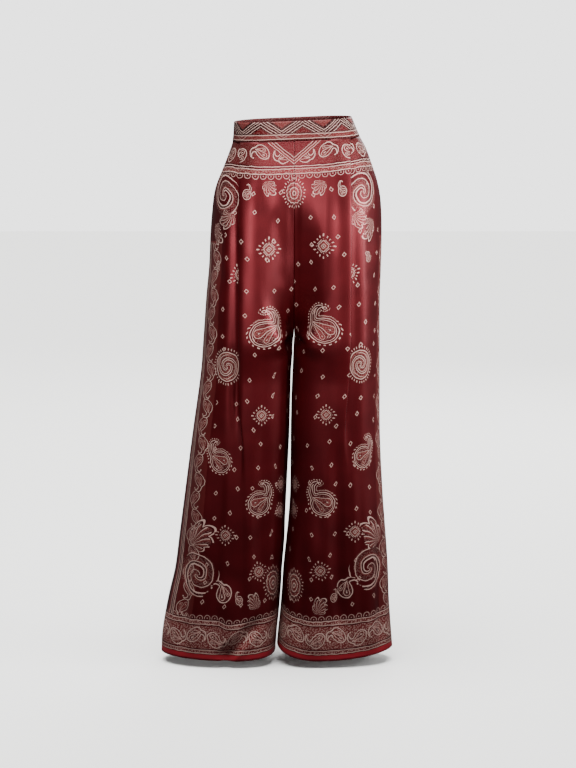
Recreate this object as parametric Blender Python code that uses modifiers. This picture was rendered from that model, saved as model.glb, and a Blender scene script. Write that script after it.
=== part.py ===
"""High-waisted wide-leg trousers, standing as worn, hollow and open at the waist and hems.

Metres, +Z up, the front towards -Y. The origin is the middle of the waist opening.
The wearer's right leg is at -X. All tables are in millimetres.
"""
import math
from collections import namedtuple

import bmesh
import bpy
from mathutils import Vector

MM = 0.001
CLOTH = 1.2  # wall of a leg panel
BAND_WALL = 2.4  # the waistband is folded double
SEAM = 0.15  # half the space between two sewn edges
SEAM_ROW = 5.0  # a narrow column of cloth beside each seam keeps its edge square
BAND_HEIGHT = 38.0
INNER_FULL = 2.25  # how squarely a leg turns in towards its inseam
SIDE_AT_CROTCH = -470.0  # the side seam's height on the row that ends at the crotch
WAIST_ROW = 0.008  # likewise beside the waist seam, as a share of the way to the crotch
ROWS_ABOVE = 12
ROWS_BELOW = 14

# One row per level: how far the leg reaches to its side, where its front and back stand
# furthest out, and how deep it is.
Level = namedtuple("Level", "z side middle front back")

RIGHT_LEG = [
    Level(0, -118, -44, -80, 80),
    Level(-38, -121, -50, -85, 86),
    Level(-60, -128, -54, -89, 94),
    Level(-92, -140, -60, -94, 104),
    Level(-130, -154, -68, -99, 114),
    Level(-166, -160, -74, -103, 122),
    Level(-228, -165, -80, -107, 127),
    Level(-290, -168, -84, -107, 123),
    Level(-350, -174, -88, -105, 113),
    Level(-444, -181, -92, -99, 98),
    Level(-506, -186, -95, -95, 92),
    Level(-628, -203, -102, -88, 85),
    Level(-750, -219, -108, -82, 80),
    Level(-842, -231, -113, -79, 78),
    Level(-902, -239, -116, -77, 77),
    Level(-958, -252, -118, -76, 76),
    Level(-1030, -265, -118, -76, 76),
    Level(-1080, -268, -118, -75, 76),
]
LEFT_LEG = [
    Level(0, 113, 44, -80, 80),
    Level(-38, 129, 50, -85, 86),
    Level(-60, 141, 56, -89, 94),
    Level(-92, 153, 62, -94, 104),
    Level(-130, 165, 70, -99, 114),
    Level(-166, 171, 76, -103, 122),
    Level(-228, 173, 82, -107, 127),
    Level(-290, 172, 85, -107, 123),
    Level(-350, 170, 85, -105, 113),
    Level(-444, 170, 83, -99, 98),
    Level(-506, 171, 80, -95, 92),
    Level(-628, 172, 75, -88, 85),
    Level(-750, 178, 69, -82, 80),
    Level(-842, 185, 63, -79, 78),
    Level(-902, 189, 57, -77, 77),
    Level(-958, 191, 52, -76, 76),
    Level(-1030, 196, 49, -76, 76),
    Level(-1080, 200, 48, -75, 76),
]

# The two inseams lean to the right on the way down, a few millimetres apart.
Gap = namedtuple("Gap", "z centre half")

GAP = [
    Gap(-432, -0.5, 0.8),
    Gap(-450, -1.7, 1.3),
    Gap(-500, -4.4, 1.7),
    Gap(-560, -6.4, 1.4),
    Gap(-622, -7.8, 1.6),
    Gap(-690, -9.6, 3.0),
    Gap(-750, -11.6, 4.0),
    Gap(-800, -14.4, 3.5),
    Gap(-842, -17.2, 2.1),
    Gap(-902, -22.8, 1.5),
    Gap(-940, -25.0, 1.4),
    Gap(-990, -29.0, 1.4),
    Gap(-1034, -33.6, 1.4),
    Gap(-1080, -36.8, 1.4),
]

# The centre seam from the waist down, and under the body to the crotch.
Point = namedtuple("Point", "y z")

FRONT_SEAM = [
    Point(-85, -38),
    Point(-94, -92),
    Point(-101, -160),
    Point(-103, -230),
    Point(-98, -296),
    Point(-84, -352),
    Point(-62, -396),
    Point(-32, -422),
    Point(4, -432),
]
BACK_SEAM = [
    Point(86, -38),
    Point(103, -92),
    Point(119, -160),
    Point(121, -230),
    Point(110, -300),
    Point(92, -358),
    Point(68, -402),
    Point(36, -426),
    Point(4, -432),
]

# Hem heights at the side seam, at the furthest front or back, and at the inseam.
Hem = namedtuple("Hem", "side middle inner")

RIGHT_HEM = Hem(-1072, -1077, -1068)
LEFT_HEM = Hem(-1062, -1077, -1057)

# A knife pleat: its edge, the turn-under at the waist, the height where that has shrunk
# away, and the height where the cloth has fallen flat.
Pleat = namedtuple("Pleat", "edge_top edge_low turn shut flat")

RIGHT_PLEAT = Pleat(-103, -106, 22, -600, -800)
LEFT_PLEAT = Pleat(107, 106, 20, -540, -760)
PLEAT_LAYER = 3.2  # from one layer of the pleat to the next
PLEAT_LEAST = 6.5  # the turn-under where the pleat begins to fall flat

# The pleat's columns from its side to its middle. turn and along say where each lies from
# the pleat's edge, in turns and millimetres, and rise how far out, in layers. Lower down
# the fold opens to a step, and that to flat cloth.
Stop = namedtuple("Stop", "turn along rise step step_rise flat")

PLEAT_PATH = [
    Stop(0, -30.0, 0.0, -30.0, 0.0, -30.0),
    Stop(0, -14.0, -0.6, -18.0, -0.6, -22.0),
    Stop(0, -4.0, -1.2, -8.0, -1.1, -15.0),
    Stop(0.5, 0.0, -1.25, -3.0, -1.2, -10.0),
    Stop(1, 0.0, -1.2, 2.0, -1.15, -6.0),
    Stop(1, 1.6, -0.7, 4.5, -0.9, -2.0),
    Stop(1, 0.0, -0.2, 5.4, -0.45, 2.0),
    Stop(0.5, 0.0, -0.2, 5.6, -0.15, 5.0),
    Stop(0, 0.0, -0.2, 5.8, 0.15, 8.0),
    Stop(0, -1.6, 0.3, 6.7, 0.55, 12.0),
    Stop(0, 0.0, 0.8, 10.0, 0.8, 17.0),
    Stop(0, 12.0, 0.8, 18.0, 0.8, 23.0),
    Stop(0, 26.0, 0.7, 28.0, 0.65, 30.0),
    Stop(0, 44.0, 0.0, 44.0, 0.0, 44.0),
]

# Soft folds: a line down the cloth, its half width and how far it stands out.
Fold = namedtuple("Fold", "top x_top low x_low half rise")

RIGHT_FRONT_FOLDS = [
    Fold(-110, -70, -400, -72, 34, 2.5),
    Fold(-900, -128, -1090, -118, 34, 6),
    Fold(-985, -60, -1084, -152, 20, -11),
    Fold(-560, -60, -960, -66, 22, -4),
    Fold(-520, -165, -1090, -205, 26, 5),
]
LEFT_FRONT_FOLDS = [
    Fold(-110, 66, -400, 74, 34, 2.5),
    Fold(-560, 84, -1050, 92, 22, -6),
    Fold(-760, 44, -1090, 40, 34, 5),
    Fold(-230, 136, -700, 132, 26, 3),
    Fold(-700, 142, -1090, 150, 24, 5),
]
RIGHT_BACK_FOLDS = [
    Fold(-420, -60, -1090, -76, 24, -6),
    Fold(-380, -112, -1090, -128, 30, 6),
    Fold(-520, -164, -1090, -190, 24, -5),
]
LEFT_BACK_FOLDS = [
    Fold(-430, 52, -1090, 34, 24, -5),
    Fold(-400, 92, -1090, 84, 30, 6),
    Fold(-560, 134, -1090, 140, 22, -6),
]


def eased(share):
    """0 to 1, level at both ends."""
    share = min(max(share, 0.0), 1.0)
    return share * share * (3.0 - 2.0 * share)


def along_table(table, key, column, value):
    """A smooth curve through one column of a table, read at a value of its key column."""
    keys = [getattr(row, key) for row in table]
    places = [getattr(row, column) for row in table]
    falling = keys[0] > keys[-1]
    last = len(keys) - 1
    i = 0
    while i < last - 1 and (value < keys[i + 1]) == falling:
        i += 1
    slopes = []
    for k in (i, i + 1):
        before = max(k - 1, 0)
        after = min(k + 1, last)
        slopes.append((places[after] - places[before]) / (keys[after] - keys[before]))
    width = keys[i + 1] - keys[i]
    t = min(max((value - keys[i]) / width, 0.0), 1.0)
    start = (2 * t**3 - 3 * t**2 + 1) * places[i] + (t**3 - 2 * t**2 + t) * width * slopes[0]
    end = (3 * t**2 - 2 * t**3) * places[i + 1] + (t**3 - t**2) * width * slopes[1]
    return start + end


def along_seam(points, share):
    """A place on a seam, as a share of its points."""
    steps = [Point(i / (len(points) - 1), p) for i, p in enumerate(points)]
    rows = [namedtuple("Step", "share y z")(s.y, s.z.y, s.z.z) for s in steps]
    return Point(
        along_table(rows, "share", "y", share),
        along_table(rows, "share", "z", share),
    )


def waist_tilt(x, z):
    """The wearer's left hip is up; the hips level out lower down."""
    return 0.042 * x * (1.0 - eased(-z / 300.0))


def base_line(leg, facing, side, middle, inner, turned):
    """One row of cloth from the side seam to the inner seam, as closely set points.

    side, middle and inner are heights or points of the row, and turned is 0 where the
    cloth crosses the centre seam squarely and 1 where it follows the inseam.
    """
    depth = "front" if facing < 0 else "back"
    side_x = along_table(leg, "z", "side", side)
    middle_x = along_table(leg, "z", "middle", middle)
    reach = along_table(leg, "z", depth, middle)
    points = []
    for i in range(41):
        angle = math.pi / 2 * i / 40
        x = middle_x + (side_x - middle_x) * math.cos(angle) ** 0.93
        y = facing * SEAM + (reach - facing * SEAM) * math.sin(angle) ** 0.93
        z = side + (middle - side) * eased(i / 40)
        points.append(Vector((x, y, z)))
    across = inner.x - middle_x
    back = inner.y - reach
    late = 0.62 * eased(back / -80.0 * facing)
    for i in range(1, 41):
        t = i / 40
        first = 2 * t**3 - 3 * t**2 + 1
        pull = t**3 - 2 * t**2 + t
        last = 3 * t**2 - 2 * t**3
        push = t**3 - t**2
        square = Vector((middle_x + across * t, reach + back * eased((t - late) / (1.0 - late)), 0.0))
        round_x = first * middle_x + pull * across * INNER_FULL + last * inner.x
        round_y = first * reach + last * inner.y + push * back * INNER_FULL
        spot = square.lerp(Vector((round_x, round_y, 0.0)), turned)
        spot.z = middle + (inner.z - middle) * eased(t)
        points.append(spot)
    return points


def lengths_of(points):
    lengths = [0.0]
    for before, after in zip(points, points[1:]):
        lengths.append(lengths[-1] + (after - before).length)
    return lengths


def place_on(points, below, lengths, along, rise):
    """A place on a row: so far along it, and lifted off it, away from the body.

    below holds the same points of a row a little lower down.
    """
    along = min(max(along, 0.0), lengths[-1])
    i = 0
    while i < len(points) - 2 and lengths[i + 1] < along:
        i += 1
    share = (along - lengths[i]) / (lengths[i + 1] - lengths[i])
    spot = points[i].lerp(points[i + 1], share)
    before = points[max(i - 1, 0)]
    after = points[min(i + 2, len(points) - 1)]
    down = below[i].lerp(below[i + 1], share) - spot
    out = (after - before).cross(down).normalized()
    away = Vector((points[i].x - points[40].x, points[i].y, 0.0))
    if out.dot(away) < 0.0:
        out.negate()
    return spot + out * rise


def length_to(points, lengths, x):
    """How far along a row its cloth comes level with x."""
    for i in range(len(points) - 1):
        before, after = points[i].x, points[i + 1].x
        if (before - x) * (after - x) <= 0.0 and before != after:
            return lengths[i] + (lengths[i + 1] - lengths[i]) * (x - before) / (after - before)
    return lengths[20]


def fold_rise(folds, x, z):
    rise = 0.0
    for fold in folds:
        share = (fold.top - z) / (fold.top - fold.low)
        if share <= 0.0:
            continue
        x_line = fold.x_top + (fold.x_low - fold.x_top) * min(share, 1.0)
        near = 1.0 - min(abs(x - x_line) / fold.half, 1.0)
        rise += fold.rise * eased(near) * eased(share * 2.5) * eased((1.0 - share) * 12)
    return rise


def row_of(leg, hem, seam, facing, side_sign, way):
    """The points of one row of a leg panel, from the side seam to the inner seam.

    way is 0 at the waist seam, 1 on the row that ends at the crotch, and 2 at the hem.
    """
    if way <= 1.0:
        side = -BAND_HEIGHT - 0.3 + (SIDE_AT_CROTCH + BAND_HEIGHT + 0.3) * way
        met = along_seam(seam, way)
        z = met.z - 0.3 * (1.0 - way)
        space = SEAM + 0.75 * eased((way - 0.75) * 4)
        end_y = met.y + facing * 0.7 * eased((way - 0.8) * 5)
        inner = Vector((side_sign * space, end_y, z))
        middle = 0.5 * (side + z)
        return base_line(leg, facing, side, middle, inner, 0.0)
    share = way - 1.0
    side = SIDE_AT_CROTCH + (hem.side - SIDE_AT_CROTCH) * share
    z = -432 + (hem.inner + 432) * (0.75 * share + 0.25 * share**2)
    drop = (hem.middle - 0.5 * (hem.side + hem.inner)) * eased(share)
    middle = 0.5 * (side + z) + drop
    centre = along_table(GAP, "z", "centre", z)
    half = along_table(GAP, "z", "half", z)
    space = 0.7 + (SEAM - 0.7) * eased(share * 8)
    inner = Vector((centre + side_sign * half, 4.0 * (1 - share) + facing * space, z))
    return base_line(leg, facing, side, middle, inner, eased(share * ROWS_BELOW))


def pleat_stops(pleat, z):
    """Where the pleat's columns lie on a row, from its edge, and how far in."""
    open_share = min(max((z + BAND_HEIGHT) / (pleat.shut + BAND_HEIGHT), 0.0), 1.0)
    turn = PLEAT_LEAST + (pleat.turn - PLEAT_LEAST) * (1.0 - open_share**2)
    opened = (pleat.shut + 40.0 - z) / (pleat.shut + 40.0 - pleat.flat)
    folded = 1.0 - eased(opened * 2.0)
    raised = 1.0 - eased((opened - 0.3) / 0.7)
    stops = []
    for stop in PLEAT_PATH:
        lower = stop.flat + (stop.step - stop.flat) * raised
        along = lower + (stop.along + stop.turn * turn - lower) * folded
        rise = stop.step_rise + (stop.rise - stop.step_rise) * folded
        stops.append((along, rise * raised * PLEAT_LAYER))
    return stops


def leg_panel(name, leg, hem, seam, facing, folds, pleat, columns, colour):
    """A leg panel: a grid of cloth laid on the rows, then given its wall."""
    side_sign = 1 if leg[0].side > 0 else -1
    ways = [0.0, WAIST_ROW]
    ways += [k / ROWS_ABOVE for k in range(1, ROWS_ABOVE + 1)]
    ways += [1.0 + k / ROWS_BELOW for k in range(1, ROWS_BELOW + 1)]
    rows = len(ways) - 1
    outer, inner = columns
    count = outer + inner
    if pleat:
        count += len(PLEAT_PATH) - 1
    bm = bmesh.new()
    bmesh.ops.create_grid(bm, x_segments=count, y_segments=rows, size=1.0)
    lines = []
    for way in ways:
        points = row_of(leg, hem, seam, facing, side_sign, way)
        near = 0.01 if way < 1.99 else -0.01
        below = row_of(leg, hem, seam, facing, side_sign, way + near)
        lengths = lengths_of(points)
        whole = lengths[-1]
        if not pleat:
            inside = count - 2
            steps = [SEAM_ROW + (whole - 2 * SEAM_ROW) * k / inside for k in range(inside + 1)]
            stops = [(along, 0.0) for along in [0.0, *steps, whole]]
        else:
            z = points[20].z
            share = min(max(z / -600.0, 0.0), 1.0)
            edge_x = pleat.edge_top + (pleat.edge_low - pleat.edge_top) * share
            edge = length_to(points, lengths, edge_x)
            path = [(edge + along, rise) for along, rise in pleat_stops(pleat, z)]
            start = max(path[0][0], 4.0)
            path[0] = (start, path[0][1])
            end = path[-1][0]
            first = start - SEAM_ROW
            last = whole - SEAM_ROW - end
            before = [(SEAM_ROW + first * k / (outer - 1), 0.0) for k in range(outer - 1)]
            after = [(end + last * k / (inner - 1), 0.0) for k in range(1, inner)]
            stops = [(0.0, 0.0), *before, *path, *after, (whole, 0.0)]
        lines.append((points, below, lengths, stops))
    for vert in bm.verts:
        column = round((vert.co.x + 1.0) / 2.0 * count)
        row = round((1.0 - vert.co.y) / 2.0 * rows)
        points, below, lengths, stops = lines[row]
        along, rise = stops[column]
        spot = place_on(points, below, lengths, along, 0.0)
        edge = min(along, lengths[-1] - along)
        lift = fold_rise(folds, spot.x, spot.z) * eased(edge / 30.0)
        spot = place_on(points, below, lengths, along, rise + lift)
        spot.z += waist_tilt(spot.x, spot.z)
        vert.co = spot * MM
    finish(name, bm, CLOTH, colour)


def waistband(name, colour):
    """The waistband: a strip round the waist whose ends meet at the centre back."""
    steps = 11
    heights = (0.0, -3.0, -19.0, -35.0, -BAND_HEIGHT)
    rings = []
    for z in heights:
        ring = []
        for leg, facing, from_side in (
            (LEFT_LEG, 1, False),
            (LEFT_LEG, -1, True),
            (RIGHT_LEG, -1, False),
            (RIGHT_LEG, 1, True),
        ):
            reach = along_table(leg, "z", "front" if facing < 0 else "back", z)
            points = base_line(leg, facing, z, z, Vector((0.0, reach, z)), 0.0)
            points[0].y = 0.0
            lengths = lengths_of(points)
            places = [lengths[-1] * k / steps for k in range(steps + 1)]
            spots = [place_on(points, points, lengths, place, 0.0) for place in places]
            if not from_side:
                spots.reverse()
            ring += spots[:-1]
        ring.append(ring[0].copy())
        rings.append(ring)
    count = 4 * steps
    rows = len(heights) - 1
    bm = bmesh.new()
    bmesh.ops.create_grid(bm, x_segments=count, y_segments=rows, size=1.0)
    for vert in bm.verts:
        column = round((vert.co.x + 1.0) / 2.0 * count)
        row = round((1.0 - vert.co.y) / 2.0 * rows)
        spot = rings[row][column].copy()
        if column == 0:
            spot.x = SEAM
        if column == count:
            spot.x = -SEAM
        spot.z += waist_tilt(spot.x, spot.z)
        vert.co = spot * MM
    finish(name, bm, BAND_WALL, colour)


def zip_pull(name, colour):
    """The pull of the concealed zip, hanging on the centre-back seam of the waistband."""
    bm = bmesh.new()
    bmesh.ops.create_cube(bm, size=1.0)
    for vert in bm.verts:
        narrow = 1.0 if vert.co.z < 0 else 0.6
        vert.co.x *= 4.2 * narrow
        vert.co.y *= 1.3
        vert.co.z *= 13.0
    bmesh.ops.bevel(
        bm,
        geom=bm.edges[:],
        offset=0.4,
        offset_type="OFFSET",
        segments=1,
        affect="EDGES",
        profile=0.5,
    )
    for vert in bm.verts:
        vert.co = (vert.co + Vector((0.0, 84.6, -11.5))) * MM
    finish(name, bm, 0.0, colour)


def finish(name, bm, wall, colour):
    bmesh.ops.recalc_face_normals(bm, faces=bm.faces)
    mesh = bpy.data.meshes.new(name)
    bm.to_mesh(mesh)
    bm.free()
    piece = bpy.data.objects.new(name, mesh)
    trousers.objects.link(piece)
    if wall:
        shell = piece.modifiers.new("wall", "SOLIDIFY")
        shell.thickness = wall * MM
        shell.offset = 0.0
        shell.use_even_offset = False
    material = bpy.data.materials.new(name)
    material.use_nodes = True
    surface = material.node_tree.nodes["Principled BSDF"]
    surface.inputs["Base Color"].default_value = (*colour, 1.0)
    surface.inputs["Roughness"].default_value = 0.42
    surface.inputs["Metallic"].default_value = 0.9 if name == "zip_pull" else 0.0
    mesh.materials.append(material)


for old in list(bpy.data.objects):
    bpy.data.objects.remove(old, do_unlink=True)
trousers = bpy.data.collections.new("palazzo_trousers")
bpy.context.scene.collection.children.link(trousers)

BURGUNDY = (0.155, 0.006, 0.010)
BRIGHTER = (0.185, 0.009, 0.014)

leg_panel(
    "right_front",
    RIGHT_LEG,
    RIGHT_HEM,
    FRONT_SEAM,
    -1,
    RIGHT_FRONT_FOLDS,
    RIGHT_PLEAT,
    (4, 8),
    BURGUNDY,
)
leg_panel(
    "left_front",
    LEFT_LEG,
    LEFT_HEM,
    FRONT_SEAM,
    -1,
    LEFT_FRONT_FOLDS,
    LEFT_PLEAT,
    (4, 8),
    BURGUNDY,
)
leg_panel(
    "right_back",
    RIGHT_LEG,
    RIGHT_HEM,
    BACK_SEAM,
    1,
    RIGHT_BACK_FOLDS,
    None,
    (7, 8),
    BURGUNDY,
)
leg_panel(
    "left_back",
    LEFT_LEG,
    LEFT_HEM,
    BACK_SEAM,
    1,
    LEFT_BACK_FOLDS,
    None,
    (7, 8),
    BURGUNDY,
)
waistband("waistband", BRIGHTER)
zip_pull("zip_pull", (0.16, 0.02, 0.025))
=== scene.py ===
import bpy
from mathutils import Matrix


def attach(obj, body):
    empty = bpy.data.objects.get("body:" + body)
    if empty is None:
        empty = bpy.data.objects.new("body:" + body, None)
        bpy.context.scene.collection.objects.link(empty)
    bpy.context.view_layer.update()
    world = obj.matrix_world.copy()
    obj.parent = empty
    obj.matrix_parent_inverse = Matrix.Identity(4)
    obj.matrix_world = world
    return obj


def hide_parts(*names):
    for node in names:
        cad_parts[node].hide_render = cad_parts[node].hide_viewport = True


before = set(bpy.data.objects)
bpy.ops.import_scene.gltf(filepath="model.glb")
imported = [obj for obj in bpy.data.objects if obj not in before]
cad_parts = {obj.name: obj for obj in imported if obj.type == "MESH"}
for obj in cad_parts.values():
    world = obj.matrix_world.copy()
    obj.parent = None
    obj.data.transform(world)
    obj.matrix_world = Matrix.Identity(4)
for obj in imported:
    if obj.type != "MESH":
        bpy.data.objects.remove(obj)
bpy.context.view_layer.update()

import math
from collections import namedtuple
from functools import partial

import bmesh
import bpy
from mathutils import Vector

# Wide-leg trousers in printed satin, standing as worn. Tables are in millimetres, in the
# frame of the solids: the front towards -Y, the wearer's right leg at -X.
MM = 0.001
CLOTH = 0.7  # the cloth's thickness
BAND_WALL = 1.8  # the waistband is folded double
SEAM = 0.03  # half the space between two sewn edges
BAND_HEIGHT = 38.0
INNER_FULL = 2.25  # how squarely a leg turns in towards its inseam
CROTCH = -432.0
SIDE_AT_CROTCH = -470.0  # the side seam's height on the row that ends at the crotch
WAIST_SPACE = 0.3  # from the waistband's lower edge to the legs' cloth
HALF_ROW = 40  # steps in each half of a row's line
ROW_POINTS = 160  # steps in a row once they are spread evenly
SQUARE = 0.93  # how squarely a leg turns at its side; 1 is an oval
FADE = 16.0  # creases die out this near a seam

# One row per level: its height, how far the right leg reaches to its side and where its
# front and back stand furthest out, the same for the left leg, and the depth of both.
LEVELS = [
    (0, -118, -44, 113, 44, -80, 80),
    (-38, -121, -50, 129, 50, -85, 86),
    (-60, -128, -54, 141, 56, -89, 94),
    (-92, -140, -60, 153, 62, -94, 104),
    (-130, -154, -68, 165, 70, -99, 114),
    (-166, -160, -74, 171, 76, -103, 122),
    (-228, -165, -80, 173, 82, -107, 127),
    (-290, -168, -84, 172, 85, -107, 123),
    (-350, -174, -88, 170, 85, -105, 113),
    (-444, -181, -92, 170, 83, -99, 98),
    (-506, -186, -95, 171, 80, -95, 92),
    (-628, -203, -102, 172, 75, -88, 85),
    (-750, -219, -108, 178, 69, -82, 80),
    (-842, -231, -113, 185, 63, -79, 78),
    (-902, -239, -116, 189, 57, -77, 77),
    (-958, -252, -118, 191, 52, -76, 76),
    (-1030, -265, -118, 196, 49, -76, 76),
    (-1080, -268, -118, 200, 48, -75, 76),
]
Level = namedtuple("Level", "z side middle front back")

RIGHT_LEG = [Level(z, side, middle, *depth) for z, side, middle, _, _, *depth in LEVELS]
LEFT_LEG = [Level(z, side, middle, *depth) for z, _, _, side, middle, *depth in LEVELS]

# The gap between the legs, below the crotch.
Gap = namedtuple("Gap", "z centre half")

GAP = [Gap(*row) for row in (
    (-432, -0.5, 0.8),
    (-450, -1.7, 1.3),
    (-500, -4.4, 1.7),
    (-560, -6.4, 1.4),
    (-622, -7.8, 1.6),
    (-690, -9.6, 3.0),
    (-750, -11.6, 4.0),
    (-800, -14.4, 3.5),
    (-842, -17.2, 2.1),
    (-902, -22.8, 1.5),
    (-940, -25.0, 1.4),
    (-990, -29.0, 1.4),
    (-1034, -33.6, 1.4),
    (-1080, -36.8, 1.4),
)]

# The centre seams from the waist (share 0) to the crotch (1).
Point = namedtuple("Point", "share y z")

FRONT_SEAM = [Point(*row) for row in (
    (0.000, -85, -38),
    (0.125, -94, -92),
    (0.250, -101, -160),
    (0.375, -103, -230),
    (0.500, -98, -296),
    (0.625, -84, -352),
    (0.750, -62, -396),
    (0.875, -32, -422),
    (1.000, 4, -432),
)]
BACK_SEAM = [Point(*row) for row in (
    (0.000, 86, -38),
    (0.125, 103, -92),
    (0.250, 119, -160),
    (0.375, 121, -230),
    (0.500, 110, -300),
    (0.625, 92, -358),
    (0.750, 68, -402),
    (0.875, 36, -426),
    (1.000, 4, -432),
)]

# How low each hem hangs at the side, in the middle and at the inseam.
Hem = namedtuple("Hem", "side middle inner")

RIGHT_HEM = Hem(-1072, -1077, -1068)
LEFT_HEM = Hem(-1062, -1077, -1057)

# A knife pleat: where its edge lies at the top and low down, how much cloth it takes in,
# the height where it begins to open and the height where it has gone.
Pleat = namedtuple("Pleat", "edge_top edge_low turn shut flat")

RIGHT_PLEAT = Pleat(-103, -106, 22, -600, -800)
LEFT_PLEAT = Pleat(107, 106, 20, -540, -760)
PLEAT_LAYER = 3.0  # from one layer of the fold to the next
PLEAT_LEAST = 6.5  # what the fold still takes in where it ends

# The way across a pleat: folded (how many turns of it, then along and out), then opened
# to a step, then flat.
Stop = namedtuple("Stop", "turn along rise step step_rise flat")

PLEAT_PATH = [Stop(*row) for row in (
    (0, -30.0, 0.0, -30.0, 0.0, -30.0),
    (0, -14.0, -0.6, -18.0, -0.6, -22.0),
    (0, -4.0, -1.2, -8.0, -1.1, -15.0),
    (0.5, 0.0, -1.25, -3.0, -1.2, -10.0),
    (1, 0.0, -1.2, 2.0, -1.15, -6.0),
    (1, 1.6, -0.7, 4.5, -0.9, -2.0),
    (1, 0.0, -0.2, 5.4, -0.45, 2.0),
    (0.5, 0.0, -0.2, 5.6, -0.15, 5.0),
    (0, 0.0, -0.2, 5.8, 0.15, 8.0),
    (0, -1.6, 0.3, 6.7, 0.55, 12.0),
    (0, 0.0, 0.8, 10.0, 0.8, 17.0),
    (0, 12.0, 0.8, 18.0, 0.8, 23.0),
    (0, 26.0, 0.7, 28.0, 0.65, 30.0),
    (0, 44.0, 0.0, 44.0, 0.0, 44.0),
)]
PLEAT_FINE = 3  # columns of cloth for each stop
PLEAT_POINT = 45  # the step of a row whose height the pleat goes by
PLEAT_LOW = -600.0  # the height where its edge reaches edge_low

# Creases and soft folds: where each begins and ends, how wide it is to either side, and how
# far it stands out, or in where that is less than nothing.
Crease = namedtuple("Crease", "x0 z0 x1 z1 half rise")

RIGHT_FRONT_CREASES = [Crease(*row) for row in (
    (-86, -60, -84, -520, 104, 11),
    (-112, -70, -116, -640, 15, -7),
    (-10, -300, -66, -110, 28, -1.5),
    (-22, -370, -96, -230, 32, 0.8),
    (-128, -900, -118, -1090, 34, 6),
    (-60, -985, -152, -1084, 20, -12),
    (-60, -560, -66, -960, 22, -4),
    (-165, -520, -205, -1090, 26, 5),
    (-135, -600, -160, -1000, 14, -3),
    (-88, -700, -92, -1070, 15, 2.5),
    (-205, -830, -228, -1080, 14, -3.5),
    (-150, -150, -140, -330, 18, -1.6),
    (-30, -150, -26, -330, 18, -1.5),
)]
LEFT_FRONT_CREASES = [Crease(*row) for row in (
    (88, -60, 86, -520, 104, 11),
    (117, -80, 120, -560, 11, -1.8),
    (12, -290, 72, -125, 34, -0.8),
    (20, -350, 94, -236, 32, 0.8),
    (84, -560, 92, -1050, 20, -7),
    (44, -760, 40, -1090, 34, 5),
    (136, -230, 132, -700, 26, 3),
    (142, -700, 150, -1090, 24, 5),
    (60, -620, 66, -980, 14, 2.6),
    (118, -640, 122, -1070, 15, 3.0),
    (22, -800, 8, -1060, 14, -3),
    (165, -820, 176, -1070, 12, -3),
    (150, -150, 146, -330, 18, -1.6),
)]
RIGHT_BACK_CREASES = [Crease(*row) for row in (
    (-60, -420, -76, -1090, 24, -6),
    (-112, -380, -128, -1090, 30, 6),
    (-164, -520, -190, -1090, 24, -5),
    (-10, -330, -58, -420, 14, -3.2),
    (-8, -390, -96, -440, 12, -2.8),
    (-20, -360, -110, -392, 16, 2.2),
    (-92, -560, -104, -1000, 14, 3.0),
    (-210, -760, -236, -1080, 16, 3.0),
    (-55, -60, -62, -190, 9, -2.4),
)]
LEFT_BACK_CREASES = [Crease(*row) for row in (
    (52, -430, 34, -1090, 24, -5),
    (92, -400, 84, -1090, 30, 6),
    (134, -560, 140, -1090, 22, -6),
    (10, -330, 54, -424, 14, -3.0),
    (8, -394, 90, -446, 12, -2.6),
    (20, -364, 104, -398, 16, 2.0),
    (64, -600, 60, -1010, 14, 2.6),
    (168, -700, 172, -1080, 14, 3.2),
    (57, -60, 64, -190, 9, -2.4),
)]


# Ornaments of the print that stand alone: the middle, half the width and half the height,
# which part of the cloth carries it, -1 where it is mirrored, and how far it is turned.
Ornament = namedtuple("Ornament", "kind x z wide high part flip turn")

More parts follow.
